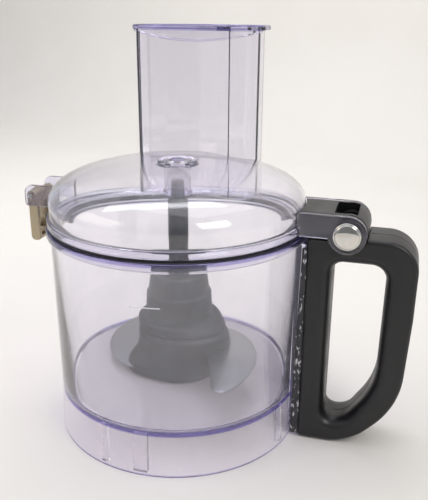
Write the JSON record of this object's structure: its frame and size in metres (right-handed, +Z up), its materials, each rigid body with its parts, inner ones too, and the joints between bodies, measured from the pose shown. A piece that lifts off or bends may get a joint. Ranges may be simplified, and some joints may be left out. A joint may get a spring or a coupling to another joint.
{
  "type": "food processor work bowl assembly",
  "caption": "Clear food processor work bowl with a hinged lid, wide feed tube, side latch, dark closed-loop handle and a spinning sickle blade on a central post.",
  "frame": {"origin": "under the middle of the whole object's box, at the level of the bowl's foot", "axes": "+X towards the handle, +Y towards the side that the feed tube is on, +Z up along the bowl's axis"},
  "size_m": [0.3072, 0.2026, 0.311],
  "materials": {
    "clear_plastic": "clear moulded polycarbonate, faintly violet at its edges, light haze and fine scuffs",
    "handle_plastic": "black moulded plastic with a fine satin spark texture",
    "gasket_rubber": "black silicone rubber",
    "hub_plastic": "charcoal moulded plastic, satin",
    "nylon": "off-white nylon, smooth",
    "blade_steel": "ground stainless steel with honed edges",
    "steel": "plain stainless steel",
    "cap_chrome": "bright chrome plating",
    "satin_nickel": "satin nickel-plated steel"
  },
  "bodies": {
    "bowl": {"work_bowl": "clear_plastic", "handle_front_shell": "handle_plastic", "handle_rear_shell": "handle_plastic", "handle_screw_lower": "steel", "handle_screw_grip": "steel", "handle_screw_upper": "steel", "interlock_spring": "steel"},
    "interlock": {"interlock_rod": "nylon"},
    "lid": {"lid_cover": "clear_plastic", "feed_tube": "clear_plastic", "lid_gasket": "gasket_rubber", "hinge_block": "handle_plastic", "hinge_pin": "steel", "hinge_cap_front": "cap_chrome", "hinge_cap_rear": "cap_chrome", "latch_pin": "steel"},
    "latch": {"latch_lever": "satin_nickel"},
    "blade": {"blade_hub": "hub_plastic", "drive_insert": "steel", "drive_stem": "hub_plastic", "blade_upper": "blade_steel", "blade_lower": "blade_steel"}
  },
  "joints": [
    {"name": "lid_hinge", "type": "hinge", "parent": "bowl", "child": "lid", "pos_m": [0.10239, 0, 0.1735], "axis": [0, 1, 0], "range_deg": [0, 95]},
    {"name": "rod_slide", "type": "slide", "parent": "bowl", "child": "interlock", "axis": [0, 0, 1], "range_m": [0, 0.004], "deforming": ["interlock_spring"]},
    {"name": "latch_swing", "type": "hinge", "parent": "lid", "child": "latch", "pos_m": [-0.14891, 0, 0.181], "axis": [0, 1, 0], "range_deg": [-10, 110]},
    {"name": "blade_spin", "type": "hinge", "parent": "bowl", "child": "blade", "pos_m": [-0.03011, 0, 0], "axis": [0, 0, 1], "continuous": true}
  ],
  "couplings": [
    {"joint": "rod_slide", "follows": "lid_hinge", "m_per_rad": 0.00241}
  ]
}
